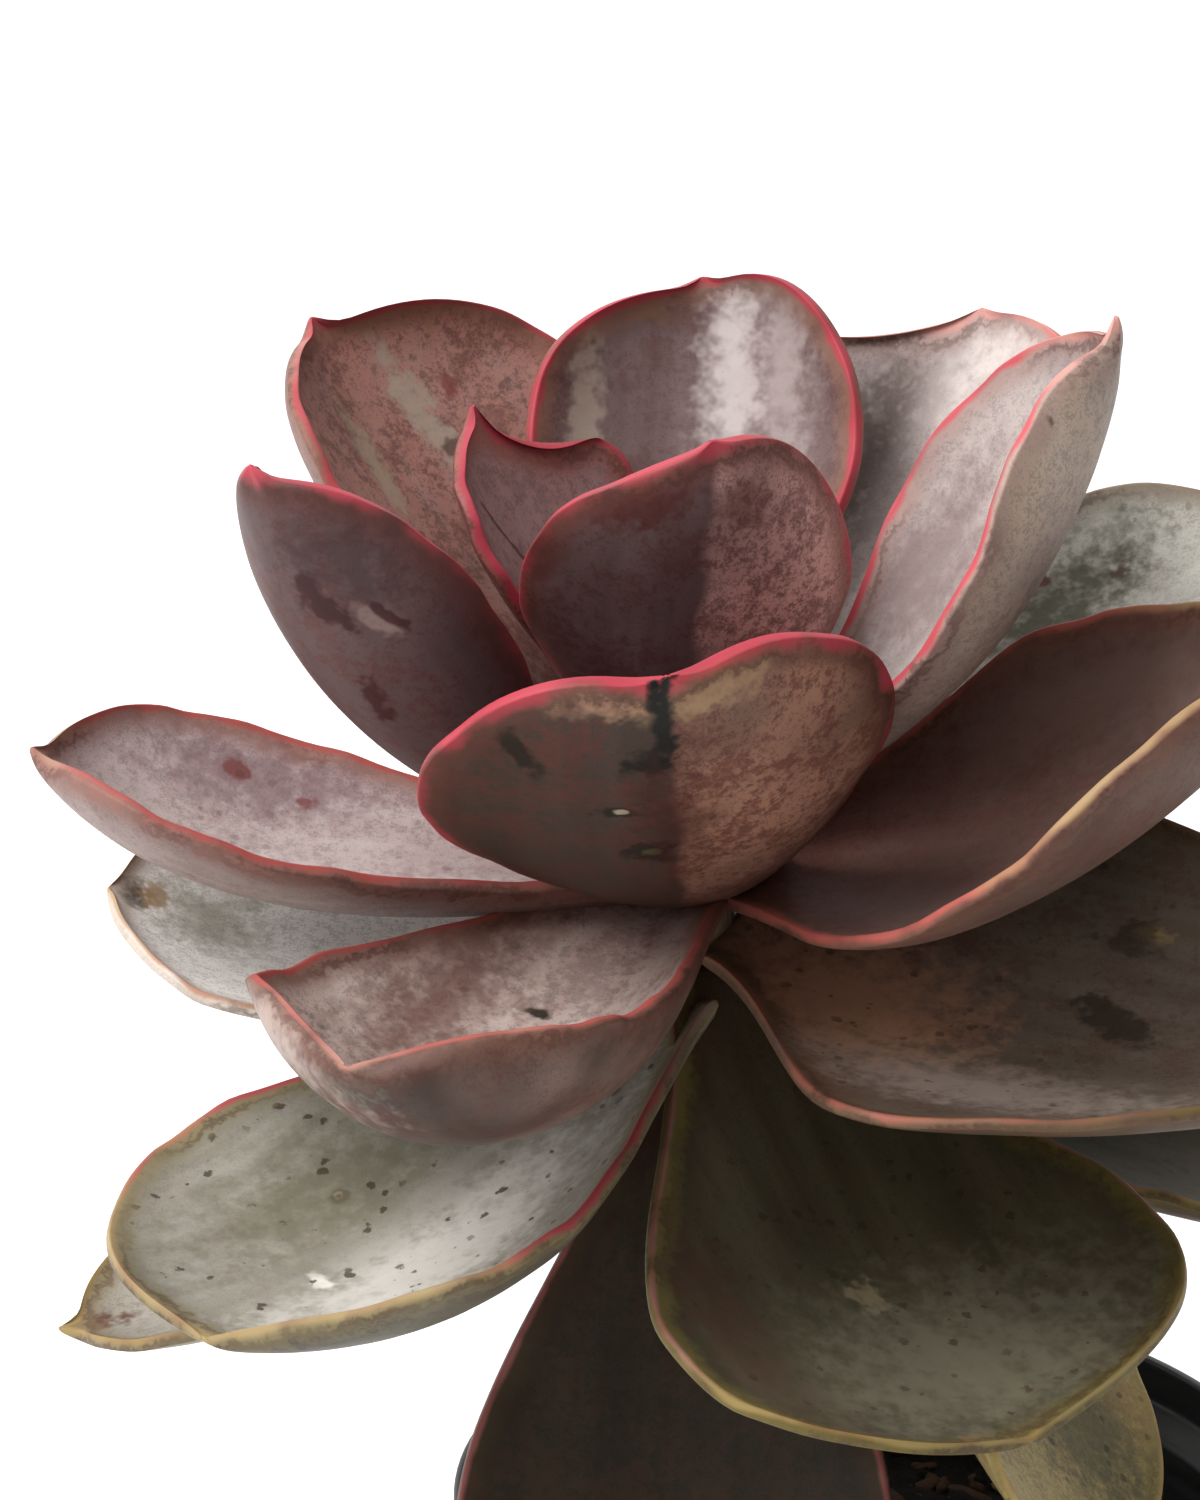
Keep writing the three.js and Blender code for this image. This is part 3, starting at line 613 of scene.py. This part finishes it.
def fleshTone(f, p, look):
    outer = linear(look["back"])
    # half: painted light on the lit side of the keel, against the back tone's painted shade, with worn bloom
    if "half" in look:
        wander = skin["keelWander"]
        beyond = f.calc("ADD", p.across, f.step(p.patchy, 0.2, 0.8, -wander, wander))
        outer = f.mix(f.step(beyond, -0.0008, 0.001), outer, linear(look["half"]))
    colour = f.mix(p.inside, outer, linear(look["flesh"]))
    colour = f.mix(f.step(p.broad, 0.42, 0.75, 0.0, 0.75), colour, linear(look["deep"]))
    # towards the stem the root tone, which where darker than the flesh is painted shade near the crown
    return f.mix(f.step(p.along, 0.5, 0.05, 0.0, 0.85), colour, linear(look["root"]))


# the waxy bloom lies in faint streaks and fine grains, thinner near the rim and towards the root
def bloomShare(f, p, look):
    bloom = f.calc("MULTIPLY", f.step(p.streaks, 0.25, 0.75, 0.5, 1.1), look["bloom"])
    for share in (
        f.step(f.calc("ADD", p.fine, p.grain), 0.75, 1.25, 0.55, 1.25),
        f.step(p.margin, 0.0005, 0.007, 0.3, 1.0),
        f.step(p.along, 0.0, 0.4, 0.4, 1.0),
        f.step(p.inside, 0.0, 1.0, look["thin"], 1.0),
    ):
        bloom = f.calc("MULTIPLY", bloom, share)
    return bloom


# one scar, spot, streak or patch of painted shade, with a torn edge
def markOn(f, p, torn, mark, colour):
    at = f.mapped(p.place, (mark["wide"], mark["long"], 1), (mark["x"], mark["y"], mark["face"]),
                  mark.get("turn", 0), "TEXTURE")
    flat = f.node("ShaderNodeVectorMath", {0: at, 1: (1, 1, 0)}, operation="MULTIPLY").outputs[0]
    soft = mark.get("soft", 0.4)
    share = f.step(f.calc("ADD", f.length(flat), torn), 1 + soft, 1 - soft, 0.0, mark.get("strength", 1.0))
    onFace = f.step(p.hollow, 0.6, 0.8) if mark["face"] else f.step(p.hollow, 0.4, 0.2)
    return f.mix(f.calc("MULTIPLY", share, onFace), colour, linear(mark["colour"]))


# dark specks of many sizes
def specksOn(f, p, look, colour):
    inputs = {"Vector": p.body, "Scale": skin["specks"], "Randomness": 1.0}
    dots = f.node("ShaderNodeTexVoronoi", inputs).outputs
    size = f.step(f.node("ShaderNodeSeparateColor", {0: dots["Color"]}).outputs[0], 0.55, 1.0, 0.0, 0.32)
    blot = f.calc("ADD", dots["Distance"], f.step(p.grain, 0.3, 0.7, -0.16, 0.16))
    speck = f.step(f.calc("SUBTRACT", blot, size), 0.06, -0.08)
    speck = f.calc("MULTIPLY", speck, f.step(p.patchy, 0.3, 0.55))
    return f.mix(f.calc("MULTIPLY", speck, look["specks"] * 0.85), colour, linear(skin["speck"]))


# fringe, a dark lining and the coloured rim, which fade into one another
def rimOn(f, p, look, colour):
    edge, torn = look["edge"], skin["raggedness"]
    ragged = f.calc("ADD", p.margin, f.step(f.calc("ADD", p.patchy, p.grain), 0.6, 1.4, -torn, torn))
    fringe = f.step(ragged, edge + skin["fringeWidth"], edge, 0.0, 0.75)
    colour = f.mix(fringe, colour, linear(look["fringe"]))
    fromLining = f.calc("ABSOLUTE", f.calc("SUBTRACT", ragged, edge + skin["liningAt"]))
    lining = f.step(fromLining, skin["liningWidth"], 0.0, 0.0, 0.55)
    colour = f.mix(f.calc("MULTIPLY", lining, f.step(p.broad, 0.4, 0.6)), colour, linear(skin["lining"]))
    turning = f.calc("ADD", p.along, f.step(p.broad, 0.2, 0.8, -0.15, 0.15))
    toStraw = f.step(turning, look["strawFrom"], look["strawFrom"] + 0.2)
    rim = f.mix(toStraw, linear(look["rim"]), linear(look["straw"]))
    rim = f.mix(f.step(p.patchy, 0.4, 0.75, 0.0, 0.45), rim, linear(skin["darkRim"]))
    # near the root the rim fades into the root tone, painted shade where that tone is darker
    rim = f.mix(f.step(p.along, 0.35, 0.0, 0.0, 0.8), rim, linear(look["root"]))
    uneven = f.calc("ADD", p.margin, f.step(p.patchy, 0.2, 0.8, -0.4 * edge, 0.4 * edge))
    return f.mix(f.step(uneven, edge * 1.45, edge * 0.4, 0.0, 0.93), colour, rim)


def leafMaterial(name, lookName, seed):
    look, marks = leafLooks[lookName], leafMarks.get(seed, ())
    f = Finish(name)
    p = skinPatterns(f, seed)
    bloom = bloomShare(f, p, look)
    colour = f.mix(bloom, fleshTone(f, p, look), linear(look["pale"]))
    flush = f.calc("MULTIPLY", f.step(f.calc("ADD", p.grain, p.patchy), 0.9, 1.2), look["flush"])
    colour = f.mix(flush, colour, linear(skin["mottling"]))
    shadow = f.step(f.calc("ADD", p.fine, p.grain), 0.9, 1.2, 0.0, 0.32)
    colour = f.mix(shadow, colour, linear(skin["shadow"]))
    torn = f.step(f.noise(p.body, skin["tear"], 2, 0.7), 0.2, 0.8, -0.6, 0.6) if marks else None
    for mark in marks:
        if not mark.get("over"):
            colour = markOn(f, p, torn, mark, colour)
    colour = rimOn(f, p, look, specksOn(f, p, look, colour))
    for mark in marks:
        if mark.get("over"):
            colour = markOn(f, p, torn, mark, colour)
    bump = f.bump(p.patchy, 0.0006, 0.45, f.bump(p.fine, 0.00004, 0.5))
    f.shade(Base_Color=colour, Roughness=f.step(bloom, 0.0, 0.8, 0.48, 0.72), Normal=bump)
    f.shade(Specular_IOR_Level=0.2)
    return f.material


def makeLeaves():
    for number, given in enumerate(leaves, 1):
        leaf = {**usualLeaf, **given}
        piece = leafPiece(leaf, number)
        node = f"leaf_{number:02d}"
        piece.data.materials.append(leafMaterial("flesh_" + node, leaf["look"], number))
        finishPiece(piece, "fleshy_" + node, leaf["slot"], node)


makeLeaves()
print("leaves made")


# The heart: small leaves that shorten and close up inwards, round the growing point

heart = dict(
    count=8, turn=20, spiral=137.5, firstSeed=40, widthShare=0.72, bend=(-10, 0, 6),
    at=(.0205, .027), length=(.028, .007), rise=(66, 86), thick=(.003, .0018),      # outermost, innermost
    coreRadius=.0026, coreHeight=.0078, coreLift=.0003, coreSides=24, coreRings=16,
)
heartLeaf = dict(cup=(50, 50), edge=.001, rows=14, columns=10, keel=.0003, ripple=.0001, hook=.0012)


def makeHeart():
    pieces = []
    for i in range(heart["count"]):
        share = i / (heart["count"] - 1)
        value = lambda key: heart[key][0] + (heart[key][1] - heart[key][0]) * share
        leaf = {**usualLeaf, **heartLeaf, "turn": heart["turn"] + i * heart["spiral"],
                "at": value("at"), "length": value("length"), "thick": value("thick"),
                "width": value("length") * heart["widthShare"],
                "rise": [value("rise") + bend for bend in heart["bend"]]}
        pieces.append(leafPiece(leaf, heart["firstSeed"] + i))
    clearSelection()
    bpy.ops.mesh.primitive_uv_sphere_add(segments=heart["coreSides"], ring_count=heart["coreRings"],
                                         radius=heart["coreRadius"])
    core = bpy.context.object
    middle = stemPoint(plant["stemTop"] + heart["coreLift"])
    points = pointsOf(core)
    points[:, 2] = (points[:, 2] / heart["coreRadius"] + 1) / 2 * heart["coreHeight"]
    movePoints(core, points + middle)
    # the core takes the skin of the middle of a leaf, far from its margin
    pointValues(core, "place", np.zeros((len(points), 3)), "FLOAT_VECTOR")
    pointValues(core, "along", np.full(len(points), 0.5))
    pointValues(core, "margin", np.full(len(points), 0.01))
    bpy.ops.object.shade_smooth()
    for piece in pieces:
        piece.select_set(True)
    bpy.ops.object.join()
    core.data.materials.append(leafMaterial("flesh_heart", "young", heart["firstSeed"]))
    finishPiece(core, "heart_rosette", "upper_leaf", "heart_leaves")


makeHeart()
print("heart made")


# The pot: thin moulded plastic with a deep lip and drain holes

pot = dict(height=.085, rim=.052, foot=.037, wall=.0014, floor=.0016, lip=.008, lipStep=.0036, edge=.0008,
           drains=6, drainRadius=.004, drainCircle=.024, drainSides=32, drillLength=.01,
           sides=128, ringBelowLip=.012, ring=.0004)


def turnedPiece(profile, sides):
    clearSelection()
    bpy.ops.mesh.primitive_grid_add(x_subdivisions=sides, y_subdivisions=len(profile) - 1, size=1)
    piece = bpy.context.object
    grid = pointsOf(piece) + 0.5
    radius, height = np.array(profile)[np.rint(grid[:, 1] * (len(profile) - 1)).astype(int)].T
    angle = grid[:, 0] * 2 * np.pi
    movePoints(piece, np.stack((radius * np.cos(angle), radius * np.sin(angle), height), 1))
    bpy.ops.object.mode_set(mode="EDIT")
    bpy.ops.mesh.select_all(action="SELECT")
    bpy.ops.mesh.remove_doubles(threshold=1e-6)
    bpy.ops.mesh.normals_make_consistent(inside=False)
    bpy.ops.object.mode_set(mode="OBJECT")
    return piece


def rounded(corners, radius, steps=4):
    profile = [corners[0]]
    for three in zip(corners, corners[1:], corners[2:]):
        before, corner, after = (Vector(point) for point in three)
        reach = min(radius, (before - corner).length * 0.45, (after - corner).length * 0.45)
        start, end = (corner + (other - corner).normalized() * reach for other in (before, after))
        for step in range(steps + 1):
            share = step / steps
            profile.append(tuple(start.lerp(corner, share).lerp(corner.lerp(end, share), share)))
    return profile + [corners[-1]]


def wallRadius(height):
    return pot["foot"] + (pot["rim"] - pot["lipStep"] - pot["foot"]) * height / (pot["height"] - pot["lip"])


def potMaterial():
    f = Finish("black_plastic")
    body = f.place()
    height = f.node("ShaderNodeSeparateXYZ", {0: body}).outputs["Z"]
    dust = f.step(f.noise(body, 70, 4, 0.65), 0.45, 0.75)
    colour = f.mix(f.calc("MULTIPLY", dust, 0.35), linear("141414"), linear("2b2927"))
    colour = f.mix(f.calc("MULTIPLY", dust, f.step(height, 0.03, 0.0, 0.0, 0.4)), colour, linear("6f6355"))
    scuffs = f.noise(f.mapped(body, (60, 60, 700)), 1, 3, 0.6)
    moulding = f.bump(f.noise(body, 35, 2), 0.0004, 0.3)
    f.shade(Base_Color=colour, Roughness=f.step(scuffs, 0.3, 0.7, 0.36, 0.52),
            Normal=f.bump(f.noise(body, 900, 2), 0.00003, 0.5, moulding))
    return f.material


def makePot():
    lipFoot, top, wall, rim = pot["height"] - pot["lip"], pot["height"], pot["wall"], pot["rim"]
    ringAt = lipFoot - pot["ringBelowLip"]
    piece = turnedPiece(rounded([
        (0, 0), (pot["foot"], 0),
        (wallRadius(ringAt), ringAt), (wallRadius(ringAt) + pot["ring"], ringAt + pot["ring"]),
        (wallRadius(lipFoot), lipFoot), (rim, lipFoot + wall / 2), (rim, top), (rim - wall, top),
        (rim - wall, lipFoot + wall * 1.5), (wallRadius(lipFoot) - wall, lipFoot),
        (wallRadius(pot["floor"]) - wall, pot["floor"]), (0, pot["floor"]),
    ], pot["edge"]), pot["sides"])
    for hole in range(pot["drains"]):
        turn = 2 * math.pi * hole / pot["drains"]
        middle = (pot["drainCircle"] * math.cos(turn), pot["drainCircle"] * math.sin(turn), 0)
        clearSelection()
        bpy.ops.mesh.primitive_cylinder_add(vertices=pot["drainSides"], radius=pot["drainRadius"],
                                            depth=pot["drillLength"], location=middle)
        drill = bpy.context.object
        cut = piece.modifiers.new("drain", "BOOLEAN")
        cut.operation, cut.solver, cut.object = "DIFFERENCE", "EXACT", drill
        applyAll(piece)
        bpy.data.objects.remove(drill)
    clearSelection()
    piece.select_set(True)
    bpy.ops.object.shade_smooth_by_angle(angle=math.radians(35))
    piece.data.materials.append(potMaterial())
    finishPiece(piece, "nursery_pot", "pot_plastic", "pot")


makePot()
print("pot made")


# The soil: a lumpy body with grit and bark chips lying on it

soil = dict(clear=.0003, lump=.0011, broad=190, fine=560, rough=.0004, roughScale=420, sides=120, rings=44,
            crumbs=420, chips=70, crumbSize=(.0006, .0014), chipSize=(.0012, .0024), tilt=.3, raised=.15,
            gritReach=.95, seed=7)


def soilHeight(x, y):
    broad = math.sin(soil["broad"] * x + 1) * math.cos(soil["broad"] * y)
    fine = math.sin(soil["fine"] * (x - y)) * math.cos(soil["fine"] * y)
    rough = noise.noise(Vector((x, y, 0)) * soil["roughScale"])
    return plant["soilTop"] + soil["lump"] * (0.6 * broad + 0.4 * fine) * 0.8 + soil["rough"] * (rough - 1)


def soilMaterial():
    f = Finish("potting_mix")
    body, shade = f.place(), f.attribute("shade")
    clods = f.noise(body, 240, 4, 0.7)
    colour = f.mix(f.step(clods, 0.35, 0.7), linear("090706"), linear("1d1712"))
    colour = f.mix(f.step(shade, 0.3, 0.7), colour, linear("4a3526"))
    colour = f.mix(f.step(shade, 0.85, 0.95), colour, linear("8a7a68"))
    specks = f.step(f.noise(body, 900, 2, 0.6), 0.66, 0.74)
    colour = f.mix(f.calc("MULTIPLY", specks, 0.7), colour, linear("6a4f3a"))
    f.shade(Base_Color=colour, Roughness=0.92, Normal=f.bump(f.noise(body, 700, 4, 0.7), 0.0005, 0.9))
    f.shade(Specular_IOR_Level=0.3)
    return f.material


def crumbPattern():
    clearSelection()
    bpy.ops.mesh.primitive_ico_sphere_add(subdivisions=2, radius=1)
    crumb = bpy.context.object
    points = pointsOf(crumb)
    swell = np.array([noise.noise(Vector(point) * 1.7) for point in points])
    movePoints(crumb, points * (1 + 0.35 * swell)[:, None])
    return crumb


def scatterGrit(radius):
    draw, crumb, grit = random.Random(soil["seed"]), crumbPattern(), []
    for i in range(soil["crumbs"] + soil["chips"]):
        chip = i >= soil["crumbs"]
        away, turn = radius * math.sqrt(draw.random()), draw.uniform(0, 2 * math.pi)
        x, y = away * math.cos(turn), away * math.sin(turn)
        size = draw.uniform(*soil["chipSize" if chip else "crumbSize"])
        bit = crumb.copy()
        bit.data = crumb.data.copy()
        bit.location = (x, y, soilHeight(x, y) + size * soil["raised"])
        tilts = [draw.uniform(-soil["tilt"], soil["tilt"]) for axis in range(2)]
        bit.rotation_euler = (*tilts, draw.uniform(0, 6.3))
        flat = 0.3 if chip else 0.7
        bit.scale = (size * draw.uniform(0.8, 1.5), size * draw.uniform(0.6, 1), size * flat)
        pointValues(bit, "shade", np.full(len(bit.data.vertices), draw.random() ** (0.5 if chip else 2)))
        bpy.context.scene.collection.objects.link(bit)
        grit.append(bit)
    bpy.data.objects.remove(crumb)
    return grit


def makeSoil():
    foot, top = pot["floor"] + soil["clear"] * 2, plant["soilTop"]
    reach = lambda height: wallRadius(height) - pot["wall"] - soil["clear"] * 2
    rim = reach(top - soil["lump"] * 2)
    profile = [(0, foot), (reach(foot) - pot["edge"], foot), (reach(foot + pot["edge"]), foot + pot["edge"])]
    profile += [(rim * (1 - ring / soil["rings"]), top) for ring in range(soil["rings"] + 1)]
    piece = turnedPiece(profile, soil["sides"])
    points = pointsOf(piece)
    upper = points[:, 2] > top - soil["clear"]
    points[upper, 2] = [soilHeight(x, y) for x, y, _ in points[upper]]
    movePoints(piece, points)
    pointValues(piece, "shade", np.zeros(len(points)))
    grit = scatterGrit(rim * soil["gritReach"])
    clearSelection()
    for bit in grit + [piece]:
        bit.select_set(True)
    bpy.context.view_layer.objects.active = piece
    bpy.ops.object.join()
    bpy.ops.object.shade_smooth()
    piece.data.materials.append(soilMaterial())
    finishPiece(piece, "crumbly_soil", "potting_soil", "soil")


makeSoil()
print("soil made")


# The stem: bark with the scars of shed leaves, leaning over to the crown

stem = dict(depth=.020, foot=.0062, crown=.0052, top=.0032, sides=64, rings=240, scarEvery=.0042, scar=.0005,
            scarTurn=137.5, scarWide=.9, scarHigh=.45, scarSwell=.7, furrow=.00025, roughScale=900)


def stemMaterial():
    f = Finish("stem_bark")
    body, scar = f.place(), f.attribute("scar")
    fibres = f.noise(f.mapped(body, (900, 900, 90)), 1, 4, 0.65)
    colour = f.mix(f.step(fibres, 0.3, 0.7), linear("4b3a2c"), linear("8c735a"))
    colour = f.mix(f.step(f.noise(body, 160, 3), 0.45, 0.7, 0.0, 0.6), colour, linear("5f5a45"))
    colour = f.mix(f.step(scar, 0.2, 0.8, 0.0, 0.8), colour, linear("a58c70"))
    f.shade(Base_Color=colour, Roughness=0.85, Normal=f.bump(fibres, 0.0004, 0.9))
    return f.material


def makeStem():
    soilAt = plant["soilTop"] - plant["crown"].z
    foot, top = soilAt - stem["depth"], plant["stemTop"]
    heights = np.linspace(foot, top, stem["rings"] + 1)
    profile = [(0, foot)]
    for at in heights:
        end, share = (stem["foot"], at / soilAt) if at < 0 else (stem["top"], at / top)
        profile.append((stem["crown"] + (end - stem["crown"]) * share - stem["furrow"], at))
    piece = turnedPiece(profile + [(0, top)], stem["sides"])
    points = pointsOf(piece)
    angle, at = np.arctan2(points[:, 1], points[:, 0]), points[:, 2].copy()
    scars = np.zeros(len(points))
    step = stem["scarEvery"]
    for number, height in enumerate(np.arange(soilAt + step, top - stem["scar"], step)):
        turn = math.radians(number * stem["scarTurn"])
        around = np.abs((angle - turn + np.pi) % (2 * np.pi) - np.pi) / stem["scarWide"]
        near = 1 - smoothed(np.hypot(around, (at - height) / (step * stem["scarHigh"])), 0.6, 1)
        scars = np.maximum(scars, near)
    rough = np.array([noise.noise(Vector(point) * stem["roughScale"]) for point in points])
    side = np.hypot(points[:, 0], points[:, 1]) > stem["top"] / 2
    swell = (stem["scar"] * stem["scarSwell"] * scars + stem["furrow"] * rough) * side * (at > soilAt)
    points[:, 0] += np.cos(angle) * swell
    points[:, 1] += np.sin(angle) * swell
    middle = np.array([stemPoint(height) for height in at])
    points[:, :2] += middle[:, :2]
    points[:, 2] = middle[:, 2]
    movePoints(piece, points)
    pointValues(piece, "scar", scars)
    bpy.ops.object.shade_smooth()
    piece.data.materials.append(stemMaterial())
    finishPiece(piece, "scarred_stem", "stem_bark", "stem")


makeStem()
print("stem made")


# Floor and light

# the sky is strongest towards brightAt and fades with the angle from it, between these cosines and strengths
sky = dict(brightAt=(-0.6, 0.4, 0.7), fade=(-0.5, 0.8), strength=(0.15, 1.45))
keyLight = dict(place=(-0.8, -0.25, 1.15), aim=(-0.02, 0, 0.16), size=0.9, power=20)
picture = dict(transform="Standard", exposure=-0.1)


def makeStage():
    clearSelection()
    bpy.ops.mesh.primitive_plane_add(size=12)
    floor = bpy.context.object
    floor.name = "floor"
    f = Finish("pale_floor")
    f.shade(Base_Color=f.mix(f.noise(f.place(), 3.0), linear("f7f7f6"), linear("f9f9f8")), Roughness=0.8)
    floor.data.materials.append(f.material)
    world = bpy.data.worlds.new("studio")
    bpy.context.scene.world = world
    world.use_nodes = True
    tree = world.node_tree
    direction = tree.nodes.new("ShaderNodeTexCoord").outputs["Generated"]
    towards = tree.nodes.new("ShaderNodeVectorMath")
    towards.operation = "DOT_PRODUCT"
    tree.links.new(direction, towards.inputs[0])
    towards.inputs[1].default_value = Vector(sky["brightAt"]).normalized()
    fade = tree.nodes.new("ShaderNodeMapRange")
    fade.interpolation_type = "SMOOTHSTEP"
    tree.links.new(towards.outputs["Value"], fade.inputs[0])
    for i, value in enumerate(sky["fade"] + sky["strength"]):
        fade.inputs[i + 1].default_value = value
    background = tree.nodes["Background"]
    tree.links.new(fade.outputs[0], background.inputs["Strength"])
    background.inputs["Color"].default_value = (1, 1, 1, 1)


def softLight(name, place, aim, size, power):
    data = bpy.data.lights.new(name, "AREA")
    data.shape, data.size, data.energy = "DISK", size, power
    lamp = bpy.data.objects.new(name, data)
    lamp.location = place
    lamp.rotation_euler = (Vector(aim) - Vector(place)).to_track_quat("-Z", "Y").to_euler()
    bpy.context.scene.collection.objects.link(lamp)


makeStage()
softLight("key", **keyLight)
bpy.context.scene.view_settings.view_transform = picture["transform"]
bpy.context.scene.view_settings.exposure = picture["exposure"]
print("stage set")
